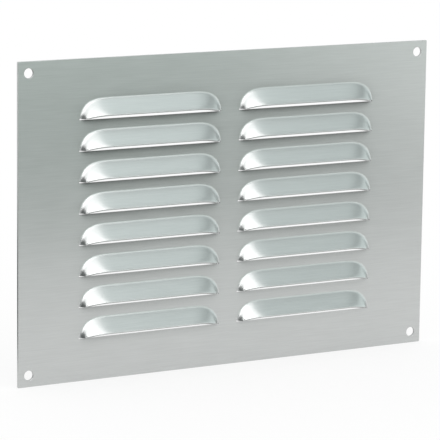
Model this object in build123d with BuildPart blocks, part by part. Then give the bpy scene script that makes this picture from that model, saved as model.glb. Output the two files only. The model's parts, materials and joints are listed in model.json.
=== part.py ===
from build123d import *
from math import cos, radians, sin, tan
import os

# Louvred vent: one pressed aluminium sheet, fixed flat to a wall by a screw in each corner.
# Millimetres, +Z up. The back of the sheet lies on the plane Y = 0 and the hoods point to -Y.

# Sheet
plate_width = 242.0
plate_height = 165.0
sheet = 1.2
corner_radius = 0.5

# Fixing holes
hole_diameter = 5.0
hole_inset = 6.0

# Louvre pattern: field_rise is how far the field's middle stands above the plate's
louvre_columns = 2
louvre_rows = 8
column_spacing = 92.3
row_pitch = 16.0
field_rise = 1.3

# One louvre: the flap above a slit, bent out along its top and stretched round at its ends
louvre_length = 81.6
louvre_height = 10.5
bend_radius = 2.5
face_slope = 34.0
lip_rise = 1.85
slit_gap = 0.6

# The ends are quarter rounds, as wide as the louvre is high
straight_half = louvre_length / 2 - louvre_height
bend_drop = bend_radius * sin(radians(face_slope))
bend_reach = bend_radius * (1 - cos(radians(face_slope)))
lip_reach = bend_reach + (louvre_height - bend_drop - lip_rise) * tan(radians(face_slope))

# Hood, drawn face up: X along the slit, Y up the plate, Z out of the wall
with BuildPart() as hood:
    with BuildSketch(Plane.YZ.offset(straight_half)) as section:
        with BuildLine():
            front_bend = JernArc((louvre_height, sheet), (-1, 0), bend_radius, -face_slope)
            front_face = PolarLine(front_bend @ 1, Axis.Y, direction=front_bend % 1)
            back_bend = JernArc((louvre_height, 0), (-1, 0), bend_radius + sheet, -face_slope)
            back_face = PolarLine(back_bend @ 1, Axis.Y, direction=back_bend % 1)
            Line(front_bend @ 0, back_bend @ 0)
            Line(front_face @ 1, back_face @ 1)
        make_face()
    extrude(amount=-straight_half)
    revolve(
        section.sketch,
        axis=Axis((straight_half, 0, 0), (0, 0, -1)),
        revolution_arc=90,
    )
    mirror(about=Plane.YZ)
    # The free edge is cut square to the sheet, so the lip climbs as the flap tilts out
    up_the_face = (0, cos(radians(face_slope)), -sin(radians(face_slope)))
    split(bisect_by=Plane((0, lip_rise, sheet + lip_reach), z_dir=up_the_face), keep=Keep.TOP)

# Opening under one hood: straight slit below, quarter rounds above
with BuildSketch() as footprint:
    SlotOverall(louvre_length, 2 * louvre_height)
    Rectangle(louvre_length, louvre_height, align=(Align.CENTER, Align.MAX), mode=Mode.SUBTRACT)
    Rectangle(louvre_length, slit_gap, align=(Align.CENTER, Align.MAX))

# Plate with its holes and louvres
foot_rise = field_rise - louvre_height / 2
with BuildPart(Plane.XZ) as louvre_plate:
    with BuildSketch(Plane.XZ):
        RectangleRounded(plate_width, plate_height, corner_radius)
        with GridLocations(plate_width - 2 * hole_inset, plate_height - 2 * hole_inset, 2, 2):
            Circle(hole_diameter / 2, mode=Mode.SUBTRACT)
        with Locations((0, foot_rise)):
            with GridLocations(column_spacing, row_pitch, louvre_columns, louvre_rows):
                add(footprint.sketch, mode=Mode.SUBTRACT)
    extrude(amount=sheet)
    with Locations((0, foot_rise, 0)):
        with GridLocations(column_spacing, row_pitch, louvre_columns, louvre_rows):
            add(hood.part)

os.makedirs("parts", exist_ok=True)
louvre_plate.part.label = "louvre_plate"
export_step(louvre_plate.part, "parts/louvre_plate.step")
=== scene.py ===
import json
from math import copysign, cos, pi, radians, sin, sqrt, tan

import bmesh
import bpy
from mathutils import Matrix, Vector
from mathutils.geometry import delaunay_2d_cdt


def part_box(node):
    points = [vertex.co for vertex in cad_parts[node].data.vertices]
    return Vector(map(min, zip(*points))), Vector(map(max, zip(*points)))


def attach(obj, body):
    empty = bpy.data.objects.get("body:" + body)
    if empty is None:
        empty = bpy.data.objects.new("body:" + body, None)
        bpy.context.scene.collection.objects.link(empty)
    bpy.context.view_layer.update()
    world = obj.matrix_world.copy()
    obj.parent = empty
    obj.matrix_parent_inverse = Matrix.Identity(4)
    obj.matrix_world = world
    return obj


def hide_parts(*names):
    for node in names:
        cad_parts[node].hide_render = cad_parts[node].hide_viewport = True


# Louvred vent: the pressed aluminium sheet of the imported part, as a fine mesh in a satin mill finish.
# Metres, +Z up, the back of the sheet on the plane Y = 0 and the hoods towards -Y.
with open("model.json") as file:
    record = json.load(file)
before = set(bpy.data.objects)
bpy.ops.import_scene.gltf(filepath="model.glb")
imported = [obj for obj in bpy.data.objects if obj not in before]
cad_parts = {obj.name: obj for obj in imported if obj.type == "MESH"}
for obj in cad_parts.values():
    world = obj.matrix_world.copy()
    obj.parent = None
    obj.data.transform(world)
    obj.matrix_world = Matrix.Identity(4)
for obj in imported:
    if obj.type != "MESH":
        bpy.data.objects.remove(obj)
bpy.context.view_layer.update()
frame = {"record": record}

MM = 0.001
NODE = "louvre_plate"
plate_low, plate_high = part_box(NODE)
mounts = {mount["name"]: mount for mount in frame["record"]["mounts"]}
hole_dims = mounts["fixing_holes"]["dims"]

# Sheet and fixing holes
SHEET = 1.2 * MM
CORNER_RADIUS = 0.5 * MM
EDGE_ROUND = 0.15 * MM
HOLE_RADIUS = hole_dims["hole_r_mm"] * MM
HOLE_SPACING = (hole_dims["spacing_x_mm"] * MM, hole_dims["spacing_y_mm"] * MM)
HOLE_COLUMNS = 2
HOLE_ROWS = 2

# Louvre pattern: FIELD_RISE is how far the field's middle stands above the plate's
LOUVRE_COLUMNS = 2
LOUVRE_ROWS = 8
COLUMN_SPACING = 92.3 * MM
ROW_PITCH = 16.0 * MM
FIELD_RISE = 1.3 * MM

# One louvre: the flap above a slit, bent out along its top
LOUVRE_LENGTH = 81.6 * MM
LOUVRE_HEIGHT = 10.5 * MM
BEND_RADIUS = 2.5 * MM
FACE_SLOPE = radians(34.0)
LIP_RISE = 1.85 * MM
SLIT_GAP = 0.6 * MM
LIP_ROUND = 0.45 * MM
STRAIGHT_HALF = LOUVRE_LENGTH / 2 - LOUVRE_HEIGHT

# Its stretched ends: END_BLEND is how far they run into the straight face, END_FULLNESS the share of the
# way from a cone to a slanted cylinder, reached FOOT_REACH from the foot, and END_SOFTNESS is added to the
# bend's radius at the tips
END_BLEND = 10.0 * MM
END_FULLNESS = 0.6
END_SOFTNESS = 2.0 * MM
FOOT_REACH = 3.0 * MM

# Mesh fineness: END_CROWDING above 1 brings an end's sections closer together near the straight face
BEND_STEPS = 10
FACE_STEPS = 6
ROUND_STEPS = 4
END_STEPS = 20
END_CROWDING = 1.5
STRAIGHT_STEPS = 12
CORNER_STEPS = 6
EDGE_STEPS = 2
HOLE_STEPS = 64
LIP_HALVINGS = 40
SHARP_ANGLE = radians(25)

# Filling the flat sheet: triangles inside the outlines only, points this close count as one
INSIDE_ONLY = 1
SAME_POINT = 1e-9

# Vertex marks that the metal's material reads
# punched_wall marks the walls of the fixing holes, which the material colours darker than the sheet
PUNCHED = "punched_wall"
# flat_front marks the front of the flat sheet, where the material paints shade under the hoods
FLAT_FRONT = "flat_front"


# Sheet mesh

def fullness(radius, turn):
    """Extra height of a stretched end over a plain cone, at a distance from the slit's middle and a turn."""
    radius = min(radius, LOUVRE_HEIGHT)
    along, up = radius * abs(sin(turn)), radius * cos(turn)
    outline = sqrt(LOUVRE_HEIGHT ** 2 - along ** 2)
    foot = min((LOUVRE_HEIGHT - radius) / FOOT_REACH, 1.0)
    fuller = tan(FACE_SLOPE) * (outline - up - LOUVRE_HEIGHT + radius)
    return END_FULLNESS * fuller * foot * foot * (3 - 2 * foot)


def surface_out(radius, bend, base, turn):
    """How far a hood's front or back surface stands out of the wall, at a distance from the slit's middle."""
    tangent = LOUVRE_HEIGHT - bend * sin(FACE_SLOPE)
    cone = base + bend * (1 - cos(FACE_SLOPE)) + (tangent - radius) * tan(FACE_SLOPE)
    return cone + fullness(radius, turn)


def bend_points(bend, base, turn):
    """The curved bend at the hood's foot, from the flat sheet to the sloping face."""
    angles = [FACE_SLOPE * i / BEND_STEPS for i in range(BEND_STEPS + 1)]
    bent = [(LOUVRE_HEIGHT - bend * sin(a), base + bend * (1 - cos(a))) for a in angles]
    return [(radius, out + fullness(radius, turn)) for radius, out in bent]


def lip_radius(bend, base, rise, turn):
    """Distance from the slit's middle at which the square lip cut meets a surface, round the end by turn."""
    reach = surface_out(rise, bend, base, 0.0)
    low, high = rise / 2, LOUVRE_HEIGHT - bend * sin(FACE_SLOPE)
    for _ in range(LIP_HALVINGS):
        radius = (low + high) / 2
        above = radius * cos(turn) - rise - (surface_out(radius, bend, base, turn) - reach) * tan(FACE_SLOPE)
        low, high = (radius, high) if above < 0 else (low, radius)
    return radius


def rounded(before, corner, after):
    """Points that round a corner, from one side to the other."""
    steps = [i / ROUND_STEPS for i in range(ROUND_STEPS + 1)]
    return [
        tuple((1 - s) ** 2 * a + 2 * s * (1 - s) * b + s * s * c for a, b, c in zip(before, corner, after))
        for s in steps
    ]


def between(start, end, steps):
    """Points strictly between two others."""
    return [tuple(a + (b - a) * i / steps for a, b in zip(start, end)) for i in range(1, steps)]


def hood_section(turn):
    """The sheet's section at a turn, from the front foot over the lip to the back foot.

    Its points are (distance from the slit's middle, height out of the wall).
    """
    bend = BEND_RADIUS + END_SOFTNESS * sin(turn) ** 2
    front = (bend, SHEET)
    back = (bend + SHEET, 0.0)

    def at(radius, side):
        return Vector((radius, surface_out(radius, *side, turn)))

    def face(side, end):
        start = bend_points(*side, turn)[-1][0]
        return [at(radius, side) for (radius,) in between((start,), (end,), FACE_STEPS)]

    front_lip = lip_radius(*front, LIP_RISE, turn)
    back_lip = lip_radius(*back, LIP_RISE - SHEET * sin(FACE_SLOPE), turn)
    along = LIP_ROUND * cos(FACE_SLOPE)
    across = (at(back_lip, back) - at(front_lip, front)).normalized() * LIP_ROUND
    return (
        bend_points(*front, turn)
        + face(front, front_lip + along)
        + rounded(at(front_lip + along, front), at(front_lip, front), at(front_lip, front) + across)
        + rounded(at(back_lip, back) - across, at(back_lip, back), at(back_lip + along, back))
        + face(back, back_lip + along)[::-1]
        + bend_points(*back, turn)[::-1]
    )


def along_slit(end_reach):
    """Place along the slit for a reach into a hood's rounded end, blended into the straight face."""
    if end_reach < END_BLEND:
        return STRAIGHT_HALF - END_BLEND + 2 * sqrt(END_BLEND * end_reach)
    return STRAIGHT_HALF + end_reach


def hood_stations():
    """(place along the slit, turn round the end) for each section of a hood, left to right."""
    turns = [pi / 2 * (i / END_STEPS) ** END_CROWDING for i in range(END_STEPS + 1)]
    straight = STRAIGHT_HALF - END_BLEND
    left = [(-straight, -turn) for turn in reversed(turns)]
    middle = [(x, 0.0) for (x,) in between((-straight,), (straight,), STRAIGHT_STEPS)]
    right = [(straight, turn) for turn in turns]
    return left + middle + right


def plate_outline(inset):
    """The plate's rounded rectangle, brought in by inset, as (x, z)."""
    half_x = (plate_high.x - plate_low.x) / 2 - CORNER_RADIUS
    half_z = (plate_high.z - plate_low.z) / 2 - CORNER_RADIUS
    radius = CORNER_RADIUS - inset
    points = []
    for quarter, (sx, sz) in enumerate(((1, 1), (-1, 1), (-1, -1), (1, -1))):
        for i in range(CORNER_STEPS + 1):
            angle = pi / 2 * (quarter + i / CORNER_STEPS)
            points.append((sx * half_x + radius * cos(angle), sz * half_z + radius * sin(angle)))
    return points


def hole_outline(centre):
    """A round hole's outline as a function of how far it is brought out of the hole, as (x, z)."""
    angles = [2 * pi * i / HOLE_STEPS for i in range(HOLE_STEPS)]

    def outline(inset):
        radius = HOLE_RADIUS + inset
        return [(centre[0] + radius * cos(a), centre[1] + radius * sin(a)) for a in angles]

    return outline


def grid_places(spacing_x, spacing_z, columns, rows):
    """Places of a centred grid, as (x, z)."""
    return [
        ((column - (columns - 1) / 2) * spacing_x, (row - (rows - 1) / 2) * spacing_z)
        for row in range(rows)
        for column in range(columns)
    ]


class SheetMesh:
    """Vertices and faces of the sheet: those in flat stay flat, and those in smooth are shaded smooth."""

    def __init__(self):
        self.points = []
        self.flat = []
        self.smooth = []
        self.front_loops = []
        self.back_loops = []
        self.punched = set()

    def add(self, x, out, z):
        self.points.append((x, -out, z))
        return len(self.points) - 1

    def strip(self, one, other, closed, faces):
        """Quads between two rows of vertices."""
        count = len(one)
        for i in range(count if closed else count - 1):
            j = (i + 1) % count
            faces.append((one[i], one[j], other[j], other[i]))

    def edge_wall(self, outline, punched=False):
        """The wall of an outline through the sheet, with its two edges softened."""
        angles = [pi / 2 * i / EDGE_STEPS for i in range(EDGE_STEPS + 1)]
        half = [(EDGE_ROUND * (1 - sin(a)), EDGE_ROUND * (1 - cos(a))) for a in angles]
        levels = [(inset, SHEET - depth) for inset, depth in half] + half[::-1]
        rings = [[self.add(x, out, z) for x, z in outline(inset)] for inset, out in levels]
        for one, other in zip(rings, rings[1:]):
            self.strip(one, other, True, self.smooth)
        self.front_loops.append(rings[0])
        self.back_loops.append(rings[-1])
        if punched:
            self.punched.update(vertex for ring in rings[1:-1] for vertex in ring)

    def louvre(self, middle_x, foot_z):
        """One hood, its end faces and the edge of the slit under it."""
        columns = []
        for x, turn in hood_stations():
            places = [
                (x if turn == 0 else copysign(along_slit(r * abs(sin(turn))), turn), out, r * cos(turn))
                for r, out in hood_section(turn)
            ]
            columns.append([self.add(middle_x + px, out, foot_z + up) for px, out, up in places])
        for one, other in zip(columns, columns[1:]):
            self.strip(one, other, False, self.smooth)
        for column in (columns[0], columns[-1]):
            self.flat.append(tuple(column))
        ends = (middle_x + LOUVRE_LENGTH / 2, middle_x - LOUVRE_LENGTH / 2)
        front = [columns[-1][0]] + [self.add(x, SHEET, foot_z - SLIT_GAP) for x in ends] + [columns[0][0]]
        back = [columns[-1][-1]] + [self.add(x, 0.0, foot_z - SLIT_GAP) for x in ends] + [columns[0][-1]]
        self.strip(front, back, False, self.flat)
        self.front_loops.append([column[0] for column in columns] + front[1:3])
        self.back_loops.append([column[-1] for column in columns] + back[1:3])

    def fill(self, loops):
        """The flat sheet between the outer loop, which comes first, and the loops of the holes."""
        corners = [(vertex, number) for number, loop in enumerate(loops) for vertex in loop]
        flat_points = [Vector((self.points[vertex][0], self.points[vertex][2])) for vertex, _ in corners]
        edges = []
        start = 0
        for loop in loops:
            edges += [(start + i, start + (i + 1) % len(loop)) for i in range(len(loop))]
            start += len(loop)
        _, _, faces, sources, _, _ = delaunay_2d_cdt(flat_points, edges, [], INSIDE_ONLY, SAME_POINT)
        for face in faces:
            sides = [corners[sources[i][0]] for i in face]
            in_one_loop = len({number for _, number in sides}) == 1
            if not (in_one_loop and sides[0][1] > 0):
                self.flat.append(tuple(vertex for vertex, _ in sides))

    def finish(self, name):
        """A closed mesh object with outward normals and sharp creases."""
        mesh = bpy.data.meshes.new(name)
        mesh.from_pydata(self.points, [], self.flat + self.smooth)
        for polygon in mesh.polygons:
            polygon.use_smooth = polygon.index >= len(self.flat)
        work = bmesh.new()
        work.from_mesh(mesh)
        bmesh.ops.recalc_face_normals(work, faces=work.faces)
        for edge in work.edges:
            edge.smooth = edge.calc_face_angle(pi) < SHARP_ANGLE
        work.to_mesh(mesh)
        work.free()
        front = {vertex for loop in self.front_loops for vertex in loop}
        for mark, marked in ((PUNCHED, self.punched), (FLAT_FRONT, front)):
            values = [float(i in marked) for i in range(len(self.points))]
            mesh.attributes.new(mark, "FLOAT", "POINT").data.foreach_set("value", values)
        piece = bpy.data.objects.new(name, mesh)
        bpy.context.scene.collection.objects.link(piece)
        return piece


def build_sheet():
    """The whole vent as one closed piece."""
    sheet = SheetMesh()
    sheet.edge_wall(plate_outline)
    for centre in grid_places(*HOLE_SPACING, HOLE_COLUMNS, HOLE_ROWS):
        sheet.edge_wall(hole_outline(centre), punched=True)
    for x, z in grid_places(COLUMN_SPACING, ROW_PITCH, LOUVRE_COLUMNS, LOUVRE_ROWS):
        sheet.louvre(x, z + FIELD_RISE - LOUVRE_HEIGHT / 2)
    sheet.fill(sheet.front_loops)
    sheet.fill(sheet.back_loops)
    return sheet.finish("vent_sheet")


# Materials

def node_material(name):
    """An empty node material with its output."""
    material = bpy.data.materials.new(name)
    material.use_nodes = True
    nodes = material.node_tree.nodes
    nodes.clear()
    return material, nodes, material.node_tree.links, nodes.new("ShaderNodeOutputMaterial")


# Metal
METAL_DULL = (0.545, 0.555, 0.550, 1.0)
METAL_BRIGHT = (0.570, 0.580, 0.575, 1.0)
# The walls of the fixing holes are coloured darker than the sheet.
HOLE_WALL_TONE = (0.40, 0.405, 0.405, 1.0)
ROUGHNESS = 0.30
ROUGHNESS_SPREAD = 0.02
NOISE_DETAIL = 3.0
CLOUD_SCALE = 30.0

# Rolling lines: GRAIN is their share of the tone, over the range of the noise that it mostly keeps to
ROLLING_SCALE = 2200.0
ROLLING_STRETCH = (0.03, 1.0, 1.0)
ROLLING_RANGE = (0.3, 0.7)
GRAIN = 0.035
BUMP_STRENGTH = 0.05
BUMP_DEPTH = 0.01 * MM

# Painted shade under the hoods, darkening the colour of the flat front over a range of openness to the
# surroundings: place up the plate, along a leaning line, and what is left of the tone there at the least open
# spots. The painted shade is strongest towards the top and left of the plate and weakest at the bottom.
SHADE_REACH = 8.0 * MM
SHADE_RANGE = (0.65, 0.98)
SHADE_LEAN = (-0.2, 0.0, 1.0)
SHADE_WEAK = (-78.0 * MM, 0.93)
SHADE_STRONG = (40.0 * MM, 0.10)


def aluminium_material():
    """Bare rolled aluminium: satin, with fine rolling lines, soft clouds and painted shade under the hoods.
    """
    material, nodes, links, output = node_material("satin_aluminium")
    place = nodes.new("ShaderNodeTexCoord")

    def noise(scale, stretch):
        mapping = nodes.new("ShaderNodeMapping")
        mapping.inputs["Scale"].default_value = stretch
        texture = nodes.new("ShaderNodeTexNoise")
        texture.inputs["Scale"].default_value = scale
        texture.inputs["Detail"].default_value = NOISE_DETAIL
        links.new(place.outputs["Object"], mapping.inputs["Vector"])
        links.new(mapping.outputs["Vector"], texture.inputs["Vector"])
        return texture.outputs["Fac"]

    def attribute(name):
        node = nodes.new("ShaderNodeAttribute")
        node.attribute_name = name
        return node.outputs["Fac"]

    def spread(value, start, end, low, high):
        ranged = nodes.new("ShaderNodeMapRange")
        links.new(value, ranged.inputs["Value"])
        for socket, limit in (("From Min", start), ("From Max", end), ("To Min", low), ("To Max", high)):
            if isinstance(limit, float):
                ranged.inputs[socket].default_value = limit
            else:
                links.new(limit, ranged.inputs[socket])
        return ranged.outputs["Result"]

    def tone(factor, low, high):
        mix = nodes.new("ShaderNodeMix")
        mix.data_type = "RGBA"
        links.new(factor, mix.inputs["Factor"])
        for socket, value in ((mix.inputs["A"], low), (mix.inputs["B"], high)):
            if isinstance(value, tuple):
                socket.default_value = value
            else:
                links.new(value, socket)
        return mix.outputs["Result"]

    rolling = noise(ROLLING_SCALE, ROLLING_STRETCH)
    clouds = noise(CLOUD_SCALE, (1.0, 1.0, 1.0))
    metal = tone(clouds, METAL_DULL, METAL_BRIGHT)
    colour = tone(attribute(PUNCHED), metal, HOLE_WALL_TONE)

    # Painted shade: the flat front's colour is darkened where the sheet's own hoods close it in, and more so
    # towards the top left of the plate.
    hollow = nodes.new("ShaderNodeAmbientOcclusion")
    hollow.only_local = True
    hollow.inputs["Distance"].default_value = SHADE_REACH
    height = nodes.new("ShaderNodeVectorMath")
    height.operation = "DOT_PRODUCT"
    height.inputs[1].default_value = SHADE_LEAN
    links.new(place.outputs["Object"], height.inputs[0])
    (weak_place, weak_tone), (strong_place, strong_tone) = SHADE_WEAK, SHADE_STRONG
    painted_shade_depth = spread(height.outputs["Value"], weak_place, strong_place, weak_tone, strong_tone)
    under = spread(hollow.outputs["AO"], *SHADE_RANGE, painted_shade_depth, 1.0)
    shade = spread(attribute(FLAT_FRONT), 0.0, 1.0, 1.0, under)
    level = nodes.new("ShaderNodeMath")
    level.operation = "MULTIPLY"
    links.new(shade, level.inputs[0])
    links.new(spread(rolling, *ROLLING_RANGE, 1 - GRAIN, 1 + GRAIN), level.inputs[1])
    shaded = nodes.new("ShaderNodeVectorMath")
    shaded.operation = "SCALE"
    links.new(colour, shaded.inputs["Vector"])
    links.new(level.outputs["Value"], shaded.inputs["Scale"])

    bump = nodes.new("ShaderNodeBump")
    bump.inputs["Strength"].default_value = BUMP_STRENGTH
    bump.inputs["Distance"].default_value = BUMP_DEPTH
    links.new(rolling, bump.inputs["Height"])

    shader = nodes.new("ShaderNodeBsdfPrincipled")
    shader.inputs["Metallic"].default_value = 1.0
    links.new(shaded.outputs["Vector"], shader.inputs["Base Color"])
    roughness = spread(rolling, *ROLLING_RANGE, ROUGHNESS - ROUGHNESS_SPREAD, ROUGHNESS + ROUGHNESS_SPREAD)
    links.new(roughness, shader.inputs["Roughness"])
    links.new(bump.outputs["Normal"], shader.inputs["Normal"])
    links.new(shader.outputs["BSDF"], output.inputs["Surface"])
    return material


def seen_directly(nodes, links):
    """1 on camera, glossy and transmission rays, 0 on others."""
    path = nodes.new("ShaderNodeLightPath")
    total = path.outputs["Is Camera Ray"]
    for ray in ("Is Glossy Ray", "Is Transmission Ray"):
        step = nodes.new("ShaderNodeMath")
        step.operation = "MAXIMUM"
        links.new(total, step.inputs[0])
        links.new(path.outputs[ray], step.inputs[1])
        total = step.outputs["Value"]
    return total


PAPER = (0.95, 0.95, 0.95, 1.0)
FLOOR_GLOW = 0.75


def floor_material():
    """White paper that keeps part of the shadow, lifted towards the background's white where it is seen."""
    material, nodes, links, output = node_material("white_paper")
    paper = nodes.new("ShaderNodeBsdfDiffuse")
    paper.inputs["Color"].default_value = PAPER
    glow = nodes.new("ShaderNodeEmission")
    glow.inputs["Strength"].default_value = 1.0
    share = nodes.new("ShaderNodeMath")
    share.operation = "MULTIPLY"
    share.inputs[1].default_value = FLOOR_GLOW
    links.new(seen_directly(nodes, links), share.inputs[0])
    mix = nodes.new("ShaderNodeMixShader")
    links.new(share.outputs["Value"], mix.inputs["Fac"])
    links.new(paper.outputs["BSDF"], mix.inputs[1])
    links.new(glow.outputs["Emission"], mix.inputs[2])
    links.new(mix.outputs["Shader"], output.inputs["Surface"])
    return material


def card_material(name, strength, colour):
    """A plain card of one even tone."""
    material, nodes, links, output = node_material(name)
    glow = nodes.new("ShaderNodeEmission")
    glow.inputs["Strength"].default_value = strength
    glow.inputs["Color"].default_value = colour
    links.new(glow.outputs["Emission"], output.inputs["Surface"])
    return material


# Stage, light and camera

def plane_object(name, corners, material):
    """A flat four-cornered stage piece."""
    mesh = bpy.data.meshes.new(name)
    mesh.from_pydata(corners, [], [tuple(range(len(corners)))])
    piece = bpy.data.objects.new(name, mesh)
    piece.data.materials.append(material)
    bpy.context.scene.collection.objects.link(piece)
    return piece


FLOOR_FRONT = 0.36
FLOOR_BACK = 2.0
FLOOR_SIDE = 1.8


def build_floor():
    """A sheet of white paper under the vent's lower edge."""
    z = plate_low.z
    corners = [
        (-FLOOR_SIDE, -FLOOR_FRONT, z),
        (FLOOR_SIDE, -FLOOR_FRONT, z),
        (FLOOR_SIDE, FLOOR_BACK, z),
        (-FLOOR_SIDE, FLOOR_BACK, z),
    ]
    plane_object("floor", corners, floor_material())


# The studio's walls and roof
FRONT = -1.2
LEFT = -1.4
RIGHT = 1.8
TOP = 1.7
SIDE_BACK = 0.6

# Heights that its panels share
LOW_TOP = 0.25
KEY_FOOT = 0.5
EDGE_TOP = 0.7
MID_TOP = 0.8
FLAG_TOP = 0.9
KEY_TOP = 1.2

# Places from left to right
KEY_LEFT = -1.0
CORNER_END = -0.8
LOW_SPLIT = -0.1
FAR_START = 0.0
KEY_RIGHT = 0.2
FAR_SPLIT = 0.32
MID_LEFT = 0.5
LOW_RIGHT = 0.8
FAR_END = 0.95
HIGH_SPLIT = 1.1

# Places from front to back, on the ground, and the near card's gaps to the vent and the paper
STRIP_BACK = -0.9
NEAR_FRONT = -0.75
NEAR_BACK = 0.4
NEAR_GAP = 0.03
PAPER_GAP = 0.5 * MM

# Panel colours
COOL = (0.90, 1.0, 0.99, 1.0)
GREEN = (0.86, 1.0, 0.94, 1.0)
PALE = (0.96, 1.0, 0.98, 1.0)
WHITE = (1.0, 1.0, 1.0, 1.0)


def build_card(name, low, high, tone, colour):
    """A plain card between two corners of one plane, which shows only in the metal."""
    flat = [i for i in range(3) if low[i] == high[i]][0]
    one, two = [i for i in range(3) if i != flat]
    corners = []
    for a, b in ((low, low), (high, low), (high, high), (low, high)):
        corner = list(low)
        corner[one], corner[two] = a[one], b[two]
        corners.append(corner)
    card = plane_object(name, corners, card_material(name, tone, colour))
    card.visible_camera = False
    card.visible_diffuse = False
    card.visible_shadow = False


def build_studio():
    """Soft panels and dark flags round the vent: in front, at the sides, above and on the ground."""
    floor = plate_low.z
    paper = floor + PAPER_GAP
    panels = (
        ("near_left", (LEFT, NEAR_FRONT, paper), (plate_low.x - NEAR_GAP, NEAR_BACK, paper), 0.12, COOL),
        ("low_left", (LEFT, FRONT, floor), (LOW_SPLIT, FRONT, LOW_TOP), 0.15, COOL),
        ("low_middle", (LOW_SPLIT, FRONT, floor), (LOW_RIGHT, FRONT, LOW_TOP), 0.95, GREEN),
        ("low_right", (LOW_RIGHT, FRONT, floor), (RIGHT, FRONT, LOW_TOP), 1.35, PALE),
        ("key_low", (KEY_LEFT, FRONT, LOW_TOP), (MID_LEFT, FRONT, KEY_FOOT), 3.0, WHITE),
        ("edge_left", (LEFT, FRONT, LOW_TOP), (KEY_LEFT, FRONT, EDGE_TOP), 0.15, COOL),
        ("mid_right", (MID_LEFT, FRONT, LOW_TOP), (RIGHT, FRONT, MID_TOP), 0.90, COOL),
        ("key", (KEY_LEFT, FRONT, KEY_FOOT), (KEY_RIGHT, FRONT, KEY_TOP), 2.3, WHITE),
        ("key_left", (LEFT, FRONT, EDGE_TOP), (KEY_LEFT, FRONT, KEY_TOP), 2.3, WHITE),
        ("mid_gap", (KEY_RIGHT, FRONT, KEY_FOOT), (MID_LEFT, FRONT, MID_TOP), 0.90, COOL),
        ("high_corner", (LEFT, FRONT, KEY_TOP), (CORNER_END, FRONT, TOP), 1.3, WHITE),
        ("high_left", (CORNER_END, FRONT, KEY_TOP), (KEY_RIGHT, FRONT, TOP), 1.8, WHITE),
        ("key_right", (KEY_RIGHT, FRONT, MID_TOP), (MID_LEFT, FRONT, TOP), 2.3, WHITE),
        ("high_middle", (MID_LEFT, FRONT, MID_TOP), (HIGH_SPLIT, FRONT, TOP), 0.78, COOL),
        ("high_right", (HIGH_SPLIT, FRONT, MID_TOP), (RIGHT, FRONT, TOP), 0.68, COOL),
        ("right_low", (RIGHT, FRONT, floor), (RIGHT, SIDE_BACK, LOW_TOP), 1.3, COOL),
        ("right_mid", (RIGHT, FRONT, LOW_TOP), (RIGHT, SIDE_BACK, MID_TOP), 1.1, COOL),
        ("right_high", (RIGHT, FRONT, MID_TOP), (RIGHT, SIDE_BACK, TOP), 0.58, COOL),
        ("left_flag", (LEFT, FRONT, floor), (LEFT, SIDE_BACK, FLAG_TOP), 0.12, COOL),
        ("left_mid", (LEFT, FRONT, FLAG_TOP), (LEFT, SIDE_BACK, KEY_TOP), 2.2, WHITE),
        ("left_high", (LEFT, FRONT, KEY_TOP), (LEFT, SIDE_BACK, TOP), 1.3, WHITE),
        ("top_left", (LEFT, FRONT, TOP), (HIGH_SPLIT, SIDE_BACK, TOP), 1.25, COOL),
        ("top_right", (HIGH_SPLIT, FRONT, TOP), (RIGHT, SIDE_BACK, TOP), 0.9, COOL),
        ("far_left", (LEFT, FRONT, floor), (FAR_START, NEAR_FRONT, floor), 1.6, WHITE),
        ("far_strip", (FAR_START, FRONT, floor), (FAR_END, STRIP_BACK, floor), 0.15, GREEN),
        ("far_middle", (FAR_START, STRIP_BACK, floor), (FAR_SPLIT, -FLOOR_FRONT, floor), 0.36, GREEN),
        ("far_right", (FAR_SPLIT, STRIP_BACK, floor), (MID_LEFT, -FLOOR_FRONT, floor), 0.14, GREEN),
        ("far_corner", (MID_LEFT, STRIP_BACK, floor), (FAR_END, -FLOOR_FRONT, floor), 1.5, WHITE),
        ("far_edge", (FAR_END, FRONT, floor), (RIGHT, -FLOOR_FRONT, floor), 0.5, COOL),
    )
    for panel in panels:
        build_card(*panel)


WORLD_FILL = 1.06


def build_world():
    """A white surround, a little brighter as light than as background."""
    world = bpy.data.worlds.new("white_surround")
    bpy.context.scene.world = world
    world.use_nodes = True
    nodes = world.node_tree.nodes
    links = world.node_tree.links
    nodes.clear()
    output = nodes.new("ShaderNodeOutputWorld")
    fill = nodes.new("ShaderNodeBackground")
    fill.inputs["Strength"].default_value = WORLD_FILL
    white = nodes.new("ShaderNodeBackground")
    white.inputs["Strength"].default_value = 1.0
    for background in (fill, white):
        background.inputs["Color"].default_value = WHITE
    mix = nodes.new("ShaderNodeMixShader")
    links.new(seen_directly(nodes, links), mix.inputs["Fac"])
    links.new(fill.outputs["Background"], mix.inputs[1])
    links.new(white.outputs["Background"], mix.inputs[2])
    links.new(mix.outputs["Shader"], output.inputs["Surface"])


# The photograph's view: picture size and focal length in pixels
PICTURE_SIZE = 440
FOCAL_PIXELS = 2744.0
VIEW_AZIMUTH = radians(-29.83)
VIEW_ELEVATION = radians(10.12)
VIEW_ROLL = radians(0.72)
VIEW_DISTANCE = 1424.7 * MM
AIM_RIGHT = -4.0 * MM
AIM_UP = -6.0 * MM


def build_camera():
    """A long lens to the left of the vent and a little above it."""
    data = bpy.data.cameras.new("camera")
    data.lens = FOCAL_PIXELS / PICTURE_SIZE * data.sensor_width
    camera = bpy.data.objects.new("camera", data)
    turn = Matrix.Rotation(VIEW_AZIMUTH, 3, "Z") @ Matrix.Rotation(pi / 2 - VIEW_ELEVATION, 3, "X")
    turn = turn @ Matrix.Rotation(VIEW_ROLL, 3, "Z")
    camera.location = turn @ Vector((AIM_RIGHT, AIM_UP, VIEW_DISTANCE))
    camera.rotation_euler = turn.to_euler()
    bpy.context.scene.collection.objects.link(camera)
    bpy.context.scene.camera = camera


bpy.context.scene.view_settings.view_transform = "Standard"

sheet_piece = build_sheet()
sheet_piece.data.materials.append(aluminium_material())
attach(sheet_piece, "root")
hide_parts(NODE)

build_floor()
build_world()
build_studio()
build_camera()
